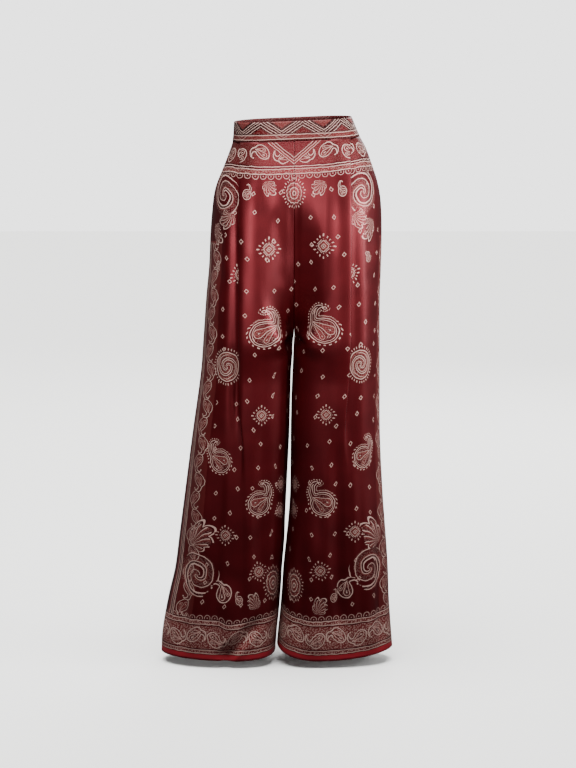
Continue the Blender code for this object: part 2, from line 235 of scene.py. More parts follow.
ORNAMENTS = [  # the kind, then one on the right leg and one on the left
    ("scroll", (-136, -144, 42, 42, "side", 1, 200), (134, -138, 42, 42, "side", -1, 160)),
    ("palmette", (-132, -199, 22, 26, "side", -1, 150), (126, -197, 22, 24, "side", 1, 210)),
    ("palmette", (-150, -228, 20, 30, "side", 1, 190), (148, -218, 22, 32, "side", -1, 170)),
    ("drop", (-92, -135, 10, 19, "centre", 1, 0), (94, -128, 10, 19, "centre", -1, 0)),
    ("palmette", (-52, -134, 17, 21, "centre", 1, 180), (53, -132, 17, 21, "centre", -1, 180)),
    ("oval", (0, -139, 22, 30, "seam", 1, 0), (0, -139, 22, 30, "seam", -1, 0)),
    ("medallion", (-49, -248, 25, 25, "centre", 1, 0), (57, -241, 25, 25, "centre", 1, 0)),
    ("medallion", (-106, -299, 21, 23, "side", 1, 20), (109, -293, 21, 23, "side", 1, 20)),
    ("drop", (-148, -284, 9, 14, "side", -1, -30), (144, -264, 10, 13, "side", 1, 30)),
    ("paisley", (-59, -399, 37, 46, "centre", 1, 4), (60, -392, 37, 46, "centre", -1, -4)),
    ("roundel", (-132, -481, 31, 37, "side", 1, 0), (131, -477, 29, 37, "side", -1, 0)),
    ("medallion", (-64, -579, 21, 21, "centre", 1, 0), (63, -577, 21, 21, "centre", 1, 0)),
    ("paisley", (-147, -659, 25, 41, "side", -1, 8), (138, -651, 25, 41, "side", 1, -8)),
    ("paisley", (-68, -744, 29, 42, "centre", 1, -6), (55, -742, 31, 43, "centre", -1, 6)),
    ("medallion", (-26, -723, 18, 18, "centre", 1, 0), (2, -723, 18, 18, "centre", 1, 0)),
    ("medallion", (-28, -775, 18, 18, "centre", 1, 20), (0, -775, 18, 18, "centre", 1, 20)),
    ("medallion", (-137, -821, 21, 21, "centre", 1, 0), (121, -814, 22, 22, "side", 1, 0)),
    ("medallion", (-70, -896, 21, 21, "centre", 1, 12), (52, -892, 21, 21, "centre", 1, 12)),
    ("palmette", (-189, -812, 32, 46, "side", -1, -25), (156, -808, 32, 46, "side", 1, 25)),
    ("scroll", (-192, -902, 45, 48, "side", -1, 20), (150, -890, 43, 47, "side", 1, -20)),
    ("drop", (-148, -936, 25, 28, "side", 1, 70), (110, -928, 25, 28, "side", -1, -70)),
    ("drop", (-109, -947, 9, 17, "side", -1, 0), (79, -943, 9, 17, "centre", 1, 0)),
    ("palmette", (-76, -951, 16, 24, "centre", 1, 0), (47, -959, 18, 26, "centre", -1, 0)),
    ("oval", (-42, -921, 24, 36, "centre", 1, 0), (0, -925, 22, 34, "centre", 1, 0)),
]
RIGHT_ORNAMENTS = [Ornament(kind, *right) for kind, right, _ in ORNAMENTS]
LEFT_ORNAMENTS = [Ornament(kind, *left) for kind, _, left in ORNAMENTS]


def eased(share):
    """0 to 1, level at both ends."""
    share = min(max(share, 0.0), 1.0)
    return share * share * (3.0 - 2.0 * share)


def curve_weights(t):
    """What the start, its slope, the end and its slope add to a curve at t."""
    return 2 * t**3 - 3 * t**2 + 1, t**3 - 2 * t**2 + t, 3 * t**2 - 2 * t**3, t**3 - t**2


def along_table(table, key, column, value):
    """A smooth curve through one column of a table, read at a value of its key column."""
    keys = [getattr(row, key) for row in table]
    places = [getattr(row, column) for row in table]
    falling = keys[0] > keys[-1]
    end = len(keys) - 1
    i = 0
    while i < end - 1 and (value < keys[i + 1]) == falling:
        i += 1
    slopes = []
    for k in (i, i + 1):
        before = max(k - 1, 0)
        after = min(k + 1, end)
        slopes.append((places[after] - places[before]) / (keys[after] - keys[before]))
    width = keys[i + 1] - keys[i]
    t = min(max((value - keys[i]) / width, 0.0), 1.0)
    first, pull, last, push = curve_weights(t)
    start = first * places[i] + pull * width * slopes[0]
    return start + (last * places[i + 1] + push * width * slopes[1])


def waist_tilt(x, z):
    """The wearer's left hip is up; the hips level out lower down."""
    return 0.042 * x * (1.0 - eased(-z / 300.0))


def thigh_dip(x, z):
    """How far back the fronts sink where they hang between the thighs."""
    low = eased((-115.0 - z) / 150.0)
    near = max(1.0 - abs(x) / (34.0 + 28.0 * low), 0.0)
    return 16.0 * low * near**1.5 * eased((z - CROTCH) / 34.0)


def base_line(leg, facing, side, middle, inner, turned):
    """One row of cloth from the side seam to the inner seam, as closely set points."""
    depth = "front" if facing < 0 else "back"
    side_x = along_table(leg, "z", "side", side)
    middle_x = along_table(leg, "z", "middle", middle)
    reach = along_table(leg, "z", depth, middle)
    points = []
    for i in range(HALF_ROW + 1):
        angle = math.pi / 2 * i / HALF_ROW
        x = middle_x + (side_x - middle_x) * math.cos(angle) ** SQUARE
        y = facing * SEAM + (reach - facing * SEAM) * math.sin(angle) ** SQUARE
        z = side + (middle - side) * eased(i / HALF_ROW)
        points.append(Vector((x, y, z)))
    across = inner.x - middle_x
    back = inner.y - reach
    late = 0.62 * eased(back / -80.0 * facing)
    for i in range(1, HALF_ROW + 1):
        t = i / HALF_ROW
        first, pull, last, push = curve_weights(t)
        turn_in = reach + back * eased((t - late) / (1.0 - late))
        square = Vector((middle_x + across * t, turn_in, 0.0))
        round_x = first * middle_x + pull * across * INNER_FULL + last * inner.x
        round_y = first * reach + last * inner.y + push * back * INNER_FULL
        spot = square.lerp(Vector((round_x, round_y, 0.0)), turned)
        spot.z = middle + (inner.z - middle) * eased(t)
        points.append(spot)
    return points


def lengths_of(points):
    lengths = [0.0]
    for before, after in zip(points, points[1:]):
        lengths.append(lengths[-1] + (after - before).length)
    return lengths


def spread_evenly(points, count):
    """The same line as evenly set points."""
    lengths = lengths_of(points)
    even = []
    i = 0
    for k in range(count + 1):
        along = lengths[-1] * k / count
        while i < len(points) - 2 and lengths[i + 1] < along:
            i += 1
        share = (along - lengths[i]) / (lengths[i + 1] - lengths[i])
        even.append(points[i].lerp(points[i + 1], min(share, 1.0)))
    return even


def crease_rise(creases, x, z):
    """How far the creases lift the cloth at a place."""
    rise = 0.0
    for crease in creases:
        run_x, run_z = crease.x1 - crease.x0, crease.z1 - crease.z0
        length = math.hypot(run_x, run_z)
        share = ((x - crease.x0) * run_x + (z - crease.z0) * run_z) / length**2
        if share < 0.0 or share > 1.0:
            continue
        off = abs((x - crease.x0) * run_z - (z - crease.z0) * run_x) / length
        if off >= crease.half:
            continue
        wander = 1.0 + 0.22 * math.sin(share * 7.0 + crease.x0)
        ends = eased(share * 3.0) * eased((1.0 - share) * 5.0)
        rise += crease.rise * wander * eased(1.0 - off / crease.half) * ends
    return rise


def row_of(leg, hem, seam, facing, side_sign, way):
    """One row of a leg panel, from the side seam to the inner seam.

    way is 0 at the waist seam, 1 on the row that ends at the crotch, and 2 at the hem.
    """
    if way <= 1.0:
        top = BAND_HEIGHT + WAIST_SPACE
        side = -top + (SIDE_AT_CROTCH + top) * way
        z = along_table(seam, "share", "z", way) - WAIST_SPACE * (1.0 - way)
        space = SEAM + 0.75 * eased((way - 0.75) * 4)
        end_y = along_table(seam, "share", "y", way) + facing * 0.7 * eased((way - 0.8) * 5)
        inner = Vector((side_sign * space, end_y, z))
        return base_line(leg, facing, side, 0.5 * (side + z), inner, 0.0)
    share = way - 1.0
    side = SIDE_AT_CROTCH + (hem.side - SIDE_AT_CROTCH) * share
    z = CROTCH + (hem.inner - CROTCH) * (0.75 * share + 0.25 * share**2)
    drop = (hem.middle - 0.5 * (hem.side + hem.inner)) * eased(share)
    middle = 0.5 * (side + z) + drop
    centre = along_table(GAP, "z", "centre", z)
    half = along_table(GAP, "z", "half", z)
    space = 0.7 + (SEAM - 0.7) * eased(share * 8)
    inner = Vector((centre + side_sign * half, 4.0 * (1 - share) + facing * space, z))
    return base_line(leg, facing, side, middle, inner, eased(share * 14))


def length_to(points, lengths, x):
    """How far along a row its cloth comes level with x."""
    for i in range(len(points) - 1):
        before, after = points[i].x, points[i + 1].x
        if (before - x) * (after - x) <= 0.0 and before != after:
            return lengths[i] + (lengths[i + 1] - lengths[i]) * (x - before) / (after - before)
    return lengths[len(lengths) // 4]


def pleat_stops(pleat, z):
    """Where the pleat's columns lie on a row, from its edge, and how far out."""
    open_share = min(max((z + BAND_HEIGHT) / (pleat.shut + BAND_HEIGHT), 0.0), 1.0)
    turn = PLEAT_LEAST + (pleat.turn - PLEAT_LEAST) * (1.0 - open_share**2)
    opened = (pleat.shut + 40.0 - z) / (pleat.shut + 40.0 - pleat.flat)
    folded = 1.0 - eased(opened * 2.0)
    raised = 1.0 - eased((opened - 0.3) / 0.7)
    stops = []
    for stop in PLEAT_PATH:
        lower = stop.flat + (stop.step - stop.flat) * raised
        along = lower + (stop.along + stop.turn * turn - lower) * folded
        rise = stop.step_rise + (stop.rise - stop.step_rise) * folded
        stops.append((along, rise * raised * PLEAT_LAYER))
    fine = []
    for k in range(len(stops) - 1):
        near = [stops[min(max(k + j, 0), len(stops) - 1)] for j in (-1, 0, 1, 2)]
        for step in range(PLEAT_FINE):
            t = step / PLEAT_FINE
            weights = (
                -0.5 * t + t**2 - 0.5 * t**3,
                1.0 - 2.5 * t**2 + 1.5 * t**3,
                0.5 * t + 2.0 * t**2 - 1.5 * t**3,
                -0.5 * t**2 + 0.5 * t**3,
            )
            fine.append(tuple(sum(w * p[axis] for w, p in zip(weights, near)) for axis in (0, 1)))
    fine.append(stops[-1])
    return fine


Panel = namedtuple("Panel", "name leg hem seam facing creases pleat outer inner prints start")

PANELS = [
    Panel("right_front", RIGHT_LEG, RIGHT_HEM, FRONT_SEAM, -1, RIGHT_FRONT_CREASES,
          RIGHT_PLEAT, 30, 28, RIGHT_ORNAMENTS, 0),
    Panel("left_front", LEFT_LEG, LEFT_HEM, FRONT_SEAM, -1, LEFT_FRONT_CREASES,
          LEFT_PLEAT, 28, 28, LEFT_ORNAMENTS, 42),
    Panel("right_back", RIGHT_LEG, RIGHT_HEM, BACK_SEAM, 1, RIGHT_BACK_CREASES,
          None, 40, 36, RIGHT_ORNAMENTS, 42),
    Panel("left_back", LEFT_LEG, LEFT_HEM, BACK_SEAM, 1, LEFT_BACK_CREASES,
          None, 40, 36, LEFT_ORNAMENTS, 0),
]
ROWS_ABOVE = 105  # from the waist seam to the crotch
ROWS_BELOW = 150


def leg_cloth(panel):
    """The panel's cloth as a grid, with the flat place of each vertex.

    The flat place is how far round from the side seam, how far short of the inner seam,
    how far below the waist seam and how far above the hem.
    """
    side_sign = 1 if panel.leg[0].side > 0 else -1
    ways = [k / ROWS_ABOVE for k in range(ROWS_ABOVE)]
    ways += [1.0 + k / ROWS_BELOW for k in range(ROWS_BELOW + 1)]
    count = panel.outer + panel.inner
    if panel.pleat:
        count += (len(PLEAT_PATH) - 1) * PLEAT_FINE
    grid = []
    base_rows = []
    for way in ways:
        points = row_of(panel.leg, panel.hem, panel.seam, panel.facing, side_sign, way)
        base_rows.append(spread_evenly(points, ROW_POINTS))
    for row, way in enumerate(ways):
        points = base_rows[row]
        lengths = lengths_of(points)
        whole = lengths[-1]
        above = base_rows[max(row - 1, 0)]
        below = base_rows[min(row + 1, len(ways) - 1)]
        if not panel.pleat:
            stops = [(whole * k / count, 0.0) for k in range(count + 1)]
        else:
            z = points[PLEAT_POINT].z
            share = min(max(z / PLEAT_LOW, 0.0), 1.0)
            edge_x = panel.pleat.edge_top + (panel.pleat.edge_low - panel.pleat.edge_top) * share
            edge = length_to(points, lengths, edge_x)
            path = [(edge + along, rise) for along, rise in pleat_stops(panel.pleat, z)]
            start = max(path[0][0], 4.0)
            path = [(max(along, start), rise) for along, rise in path]
            end = path[-1][0]
            stops = [(start * k / panel.outer, 0.0) for k in range(panel.outer)]
            stops += path
            stops += [
                (end + (whole - end) * k / panel.inner, 0.0) for k in range(1, panel.inner + 1)
            ]
        line = []
        round_to = 0.0
        for k, (along, rise) in enumerate(stops):
            place = min(max(along / whole * ROW_POINTS, 0.0), ROW_POINTS - 0.001)
            i = int(place)
            share = place - i
            spot = points[i].lerp(points[i + 1], share)
            run = points[min(i + 2, ROW_POINTS)] - points[max(i - 1, 0)]
            down = below[i].lerp(below[i + 1], share) - above[i].lerp(above[i + 1], share)
            out = run.cross(down).normalized() * (side_sign * -panel.facing)
            edge_share = min(along, whole - along) / FADE
            lift = crease_rise(panel.creases, spot.x, spot.z) * eased(edge_share)
            if k:
                round_to += math.hypot(along - stops[k - 1][0], rise - stops[k - 1][1])
            line.append([spot + out * (rise + lift), round_to])
        for place in line:
            if panel.facing < 0:
                place[0].y += thigh_dip(place[0].x, place[0].z)
            place[0].z += waist_tilt(place[0].x, place[0].z)
        grid.append(line)
    return grid, count, len(ways) - 1


def flat_places(grid):
    """For each vertex, how far it lies down from the waist seam and up from the hem."""
    rows = len(grid)
    columns = len(grid[0])
    down = [[0.0] * columns for _ in range(rows)]
    for row in range(1, rows):
        for column in range(columns):
            step = grid[row][column][0] - grid[row - 1][column][0]
            down[row][column] = down[row - 1][column] + step.length
    up = [[last - here for last, here in zip(down[-1], line)] for line in down]
    return down, up


def place_ornaments(panel, grid):
    """For each ornament, how far round the cloth its middle lies on each row it crosses."""
    pleat_end = panel.outer + (len(PLEAT_PATH) - 1) * PLEAT_FINE
    placed = []
    for ornament in panel.prints:
        first, last = 0, len(grid[0]) - 1
        if panel.pleat and ornament.part == "side":
            last = panel.outer + 4 * PLEAT_FINE
        if panel.pleat and ornament.part == "centre":
            first = pleat_end - 4 * PLEAT_FINE
        middles = {}
        for row, line in enumerate(grid):
            if abs(line[(first + last) // 2][0].z - ornament.z) > 2.0 * ornament.high:
                continue
            if ornament.part == "seam":
                middles[row] = line[-1][1]
                continue
            near = min(range(first, last), key=lambda k: abs(line[k][0].x - ornament.x))
            before, after = line[max(near - 1, first)], line[min(near + 1, last)]
            rate = (after[1] - before[1]) / (after[0].x - before[0].x or 1.0)
            rate = min(max(rate, -3.0), 3.0)
            middles[row] = line[near][1] + (ornament.x - line[near][0].x) * rate
        placed.append((ornament, middles))
    return placed


def local_place(ornament, across, rise):
    """A place in an ornament's own frame, as seen from outside."""
    angle = math.radians(ornament.turn)
    x = across * math.cos(angle) + rise * math.sin(angle)
    y = rise * math.cos(angle) - across * math.sin(angle)
    return x * ornament.flip / ornament.wide, y / ornament.high


def flat_cloth(columns, rows):
    """A grid of cloth, its layer of flat places, and its vertices' rows and columns in order."""
    bm = bmesh.new()
    bmesh.ops.create_grid(bm, x_segments=columns, y_segments=rows, size=1.0)
    bm.verts.index_update()
    flat = bm.verts.layers.float_vector.new("flat")
    where = []
    for vert in bm.verts:
        row = round((1.0 - vert.co.y) / 2.0 * rows)
        where.append((row, round((vert.co.x + 1.0) / 2.0 * columns)))
    return bm, flat, where


def lay_cloth(panel, materials):
    """A leg panel as an object, each face with the material of its print."""
    grid, columns, rows = leg_cloth(panel)
    down, up = flat_places(grid)
    bm, flat, where = flat_cloth(columns, rows)
    short = bm.verts.layers.float.new("short")
    for vert, (row, column) in zip(bm.verts, where):
        spot, round_to = grid[row][column]
        vert.co = spot * MM
        vert[flat] = (round_to + panel.start, down[row][column], up[row][column])
        vert[short] = grid[row][-1][1] - round_to
    local = bm.loops.layers.uv.new("ornament")
    placed = place_ornaments(panel, grid)
    side_sign = -1.0 if panel.leg[0].side > 0 else 1.0
    for face in bm.faces:
        spots = [where[loop.vert.index] for loop in face.loops]
        nearest = 1.0
        for ornament, middles in placed:
            if not all(row in middles for row, column in spots):
                continue
            reach = 9.0
            places = []
            for row, column in spots:
                spot, round_to = grid[row][column]
                across = (round_to - middles[row]) * side_sign
                rise = spot.z - ornament.z
                x, y = local_place(ornament, across, rise)
                places.append((x, y))
                reach = min(reach, max(abs(x), abs(y)))
            if reach < nearest:
                nearest = reach
                face.material_index = 1 + KINDS.index(ornament.kind)
                for loop, place in zip(face.loops, places):
                    loop[local].uv = place
    bmesh.ops.recalc_face_normals(bm, faces=bm.faces)
    if sum(face.normal.y * face.calc_area() for face in bm.faces) * panel.facing < 0.0:
        bmesh.ops.reverse_faces(bm, faces=bm.faces)
    return with_wall(as_piece(panel.name + "_cloth", bm, materials), CLOTH)


def as_piece(name, bm, materials):
    mesh = bpy.data.meshes.new(name)
    for face in bm.faces:
        face.smooth = True
    bm.to_mesh(mesh)
    bm.free()
    piece = bpy.data.objects.new(name, mesh)
    bpy.context.scene.collection.objects.link(piece)
    for material in materials:
        mesh.materials.append(material)
    return piece


def with_wall(piece, thickness):
    """Gives cloth its thickness, and its last material to the inner face."""
    wall = piece.modifiers.new("wall", "SOLIDIFY")
    wall.thickness = thickness * MM
    wall.offset = 0.0
    wall.use_even_offset = False
    wall.material_offset = len(piece.data.materials)
    return piece


def waistband_cloth(materials):
    """The waistband: a strip round the waist whose ends meet at the centre back."""
    steps = 36
    heights = [-BAND_HEIGHT * k / 10 for k in range(11)]
    rings = []
    for z in heights:
        ring = []
        for leg, facing, from_side in (
            (LEFT_LEG, 1, False),
            (LEFT_LEG, -1, True),
            (RIGHT_LEG, -1, False),
            (RIGHT_LEG, 1, True),
        ):
            reach = along_table(leg, "z", "front" if facing < 0 else "back", z)
            points = base_line(leg, facing, z, z, Vector((0.0, reach, z)), 0.0)
            points[0].y = 0.0
            spots = spread_evenly(points, steps)
            if not from_side:
                spots.reverse()
            ring += spots[:-1]
        ring.append(ring[0].copy())
        rings.append(ring)
    count = 4 * steps
    bm, flat, where = flat_cloth(count, len(heights) - 1)
    round_to = lengths_of(rings[-1])
    for vert, (row, column) in zip(bm.verts, where):
        spot = rings[row][column].copy()
        vert[flat] = (round_to[column], -heights[row], BAND_HEIGHT + heights[row])
        if column == 0:
            spot.x = SEAM
        if column == count:
            spot.x = -SEAM
        spot.z += waist_tilt(spot.x, spot.z)
        vert.co = spot * MM
    bmesh.ops.recalc_face_normals(bm, faces=bm.faces)
    bmesh.ops.reverse_faces(bm, faces=bm.faces)
    return with_wall(as_piece("waistband_cloth", bm, materials), BAND_WALL)


def linear(code, cover=1.0):
    """An sRGB hex colour as linear RGB, and how much it covers."""
    parts = [int(code[k : k + 2], 16) / 255 for k in (1, 3, 5)]
    return (*[p / 12.92 if p <= 0.04045 else ((p + 0.055) / 1.055) ** 2.4 for p in parts], cover)


def node(tree, kind, *values, stops=None, **settings):
    """Adds a node with its settings and links; gives its output, or all where it has several.

    kind is the node's type, then its operation or a mix's kind of value, and a Math node goes
    by its operation alone. The values are set on or linked to its sockets in order, or by
    name where they come as one dictionary.
    """
    kind, _, work = ("Math " + kind if kind.isupper() else kind).partition(" ")
    made = tree.nodes.new("ShaderNode" + kind)
    if work:
        setattr(made, "data_type" if kind == "Mix" else "operation", work)
    for name, value in settings.items():
        setattr(made, name, value)
    if stops:
        ramp = made.color_ramp
        ramp.interpolation = "CONSTANT"
        ramp.elements[0].color = stops[0][1]
        ramp.elements[1].position = stops[1][0]
        ramp.elements[1].color = stops[1][1]
        for position, colour in stops[2:]:
            ramp.elements.new(position).color = colour
    if values and isinstance(values[0], dict):
        pairs = [(made.inputs[name], value) for name, value in values[0].items()]
    else:
        pairs = zip([socket for socket in made.inputs if socket.enabled], values)
    for socket, value in pairs:
        if isinstance(value, bpy.types.NodeSocket):
            tree.links.new(value, socket)
        else:
            socket.default_value = value
    results = [socket for socket in made.outputs if socket.enabled]
    return results[0] if len(results) == 1 else results


def recipe(name, draw, takes, gives, *numbers):
    """A node group shared by the materials: draw makes what it gives from what it takes."""
    tree = bpy.data.node_groups.new(name, "ShaderNodeTree")
    for way, sockets in (("INPUT", takes), ("OUTPUT", gives)):
        for socket, kind in sockets.items():
            tree.interface.new_socket(socket, in_out=way, socket_type="NodeSocket" + kind)
    given = tree.nodes.new("NodeGroupInput").outputs[: len(takes)]
    result = tree.nodes.new("NodeGroupOutput")
    for end, socket in zip(draw(partial(node, tree), *given, *numbers), result.inputs):
        tree.links.new(end, socket)
    return tree


def drifted(add, place, scale, far):
    """A place moved a little to and fro, as a print wanders on its cloth."""
    drift = add("TexNoise", {"Vector": place, "Scale": scale, "Detail": 1.0})
    drift = add("VectorMath SUBTRACT", drift[1], (0.5, 0.5, 0.5))
    return add("VectorMath MULTIPLY_ADD", drift, far, place)


def polar(add, place):
    """How far a place lies from the middle, and at what angle."""
    parts = add("SeparateXYZ", place)
    angle = add("ARCTAN2", parts[1], parts[0])
    return add("VectorMath LENGTH", place), angle


def blank_material(name):
    """A material without nodes, and what adds them."""
    material = bpy.data.materials.new(name)
    material.use_nodes = True
    material.node_tree.nodes.clear()
    return material, partial(node, material.node_tree)


# The print's inks, with how much of the cloth each covers.
INKS = {
    "cream": linear("#CBA89D", 0.72),
    "dark": linear("#1A0305", 0.85),
    "brown": linear("#5A2423", 0.6),
    "red": linear("#8A222A", 1.0),
    "bare": linear("#440409", 0.0),
}


def inked(span, bands):
    """Stops for a colour ramp, from inks and the place where each begins."""
    words = bands.split()
    return [(float(words[k]) / span, INKS[words[k + 1]]) for k in range(0, len(words), 2)]


# Each ornament as rings from its heart (0) past its outline (1) to the ticks round it.
RING_SPAN = 1.4
ORNAMENT_RINGS = {
    "paisley": "0 cream 0.05 dark 0.1 brown 0.36 cream 0.41 dark 0.46 bare 0.70 dark 0.79 bare "
               "0.83 cream 0.86 dark 0.95 cream 1.0 dark 1.03 bare 1.09 cream 1.17 bare",
    "drop": "0 cream 0.1 dark 0.25 brown 0.36 cream 0.45 bare 0.80 dark 0.88 cream 0.98 dark "
            "1.03 bare",
    "leaf": "0 cream 0.08 brown 0.36 cream 0.42 bare 0.84 dark 0.9 cream 0.98 dark 1.03 bare",
    "medallion": "0 cream 0.05 dark 0.13 cream 0.17 brown 0.35 cream 0.39 dark 0.47 cream "
                 "0.51 bare 0.70 cream 0.86 bare",
    "oval": "0 dark 0.1 cream 0.16 brown 0.34 cream 0.39 dark 0.46 brown 0.62 cream 0.67 dark "
            "0.74 bare 0.84 cream 0.98 bare",
    "roundel": "0 cream 0.09 dark 0.2 brown 0.42 cream 0.5 dark 0.6 brown 0.74 cream 0.79 dark "
               "0.84 bare 0.88 cream 0.99 bare",
    "scroll": "0 cream 0.08 dark 0.21 cream 0.26 brown 0.36 bare 0.60 dark 0.66 cream 0.71 bare",
    "palmette": "0 cream 0.12 dark 0.26 bare 0.48 brown 0.75 bare 0.81 dark 0.87 cream 0.95 dark "
                "1.0 bare",
}
HEART = 0.78  # an ornament's filled inner part ends here
KINDS = ["paisley", "drop", "medallion", "oval", "roundel", "scroll", "palmette"]


def paisley(add, place):
    """A round body whose tail rises on one side and curls in: 1 on the outline."""
    place = add("VectorMath MULTIPLY", place, (0.68, 1.0, 0.0))

    # The body is an oval, the tail a bent band that narrows, and its end a small ball.
    body = add("VectorMath DISTANCE", place, (0.0, -0.33, 0.0))
    body = add("SUBTRACT", body, 0.55)
    bend = add("VectorMath SUBTRACT", place, (-0.06, 0.26, 0.0))
    off, angle = polar(add, bend)
    off = add("ABSOLUTE", add("SUBTRACT", off, 0.5))
    half = add("MULTIPLY_ADD", angle, 0.07, -0.145)
    past = add("ABSOLUTE", add("SUBTRACT", angle, 0.25))
    past = add("MAXIMUM", add("SUBTRACT", past, 0.88), 0.0)
    tail = add("MULTIPLY_ADD", past, 0.6, off)
    tail = add("ADD", tail, half)
    ball = add("VectorMath DISTANCE", place, (0.05, 0.64, 0.0))
    ball = add("SUBTRACT", ball, 0.07)
    tail = add("SMOOTH_MIN", tail, ball, 0.04)
    reach = add("SMOOTH_MIN", body, tail, 0.16)
    reach = add("MULTIPLY_ADD", reach, 1.6, 1.0)

    # Inside lie two small drops whose points run up to the root of the tail.
    inner = HEART
    for x, y, turn, wide, long in ((-0.22, -0.28, 0.40, 2.1, 0.56), (0.05, -0.60, 1.0, 3.6, 0.62)):
        spot = add("Mapping", place, (x, y, 0.0), (0.0, 0.0, turn), vector_type="TEXTURE")
        parts = add("SeparateXYZ", spot)
        blunt = add("CombineXYZ", add("MINIMUM", parts[0], 0.0), parts[1])
        blunt = add("VectorMath LENGTH", blunt)
        point = add("MULTIPLY", add("MAXIMUM", parts[0], 0.0), long)
        drop = add("MULTIPLY_ADD", blunt, wide, point)
        inner = add("MINIMUM", drop, inner)
    within = add("LESS_THAN", reach, HEART)
    reach = add("Mix FLOAT", within, reach, inner)

    ticks = add("COSINE", add("MULTIPLY", angle, 36.0))
    gap = add("LESS_THAN", ticks, 0.3)
    gap = add("MULTIPLY", gap, add("GREATER_THAN", reach, 1.03))
    return [add("MULTIPLY_ADD", gap, 0.6, reach)]


def flower(add, place, petals, wave_of, ticks, ticks_from, turns):
    """A round flower: petals wave its rings, ticks stand round it, turns coil its heart."""
    reach, angle = polar(add, place)
    petal = add("COSINE", add("MULTIPLY", angle, petals))
    petal = add("MULTIPLY", petal, reach)
    wave = add("COSINE", add("MULTIPLY", angle, ticks))
    outside = add("GREATER_THAN", reach, ticks_from)
    gap = add("LESS_THAN", wave, 0.62)
    gap = add("MULTIPLY", gap, outside)
    if turns:
        coil = add("MULTIPLY", angle, 0.5 / math.pi)
        coil = add("MULTIPLY_ADD", reach, turns, coil)
        coil = add("WRAP", coil, 0.0, 0.5)
        coil = add("MULTIPLY", coil, 1.3)
        inside = add("LESS_THAN", reach, 0.68)
        reach = add("Mix FLOAT", inside, reach, coil)
    reach = add("MULTIPLY_ADD", petal, wave_of, reach)
    return [add("MULTIPLY_ADD", gap, 0.8, reach)]


def scroll(add, place):
    """A big curl: an arm that winds in from a rim."""
    reach, angle = polar(add, place)
    angle = add("MULTIPLY", angle, 0.5 / math.pi)
    arm = add("POWER", reach, 0.85)
    arm = add("MULTIPLY_ADD", arm, 1.55, angle)
    arm = add("FRACT", arm)
    rim = add("GREATER_THAN", reach, 0.95)
    return [add("MULTIPLY_ADD", rim, 1.2, arm)]


def palmette(add, place):
    """A fan of curling petals from a base: 1 on the petals' outline."""
    place = add("VectorMath SUBTRACT", place, (0.0, -0.8, 0.0))
    reach = add("VectorMath LENGTH", place)
    x, y, _ = add("SeparateXYZ", place)
    angle = add("ARCTAN2", x, y)
    angle = add("MULTIPLY_ADD", reach, 0.45, angle)
    fan = add("COSINE", angle)
    fan = add("MULTIPLY_ADD", fan, 1.15, 0.45)
    petal = add("MULTIPLY", angle, 5.0)
    lobe = add("ABSOLUTE", add("COSINE", petal))
    lobe = add("MULTIPLY_ADD", lobe, 0.26, 0.74)
    edge = add("MULTIPLY", fan, lobe)
    edge = add("MAXIMUM", edge, 0.05)
    outer = add("DIVIDE", reach, edge)

    # Within the outline, two bent strokes run up each petal.
    stroke = add("MULTIPLY_ADD", petal, 2.0 / math.pi, 0.5)
    stroke = add("FRACT", stroke)
    stroke = add("MULTIPLY", stroke, 0.75)
    within = add("LESS_THAN", outer, 0.8)
    return [add("Mix FLOAT", within, outer, stroke)]


SHAPES = {}
for name, draw, *numbers in (
    ("paisley", paisley),
    ("medallion", flower, 4.0, -0.12, 16.0, 0.50, 0.0),
    ("oval", flower, 14.0, 0.04, 28.0, 0.77, 0.0),
    ("roundel", flower, 2.0, 0.02, 34.0, 0.86, 1.7),
    ("scroll", scroll),
    ("palmette", palmette),
):
    SHAPES[name] = recipe(name + "_shape", draw, {"Place": "Vector"}, {"Reach": "Float"}, *numbers)
SHAPES["drop"] = SHAPES["paisley"]


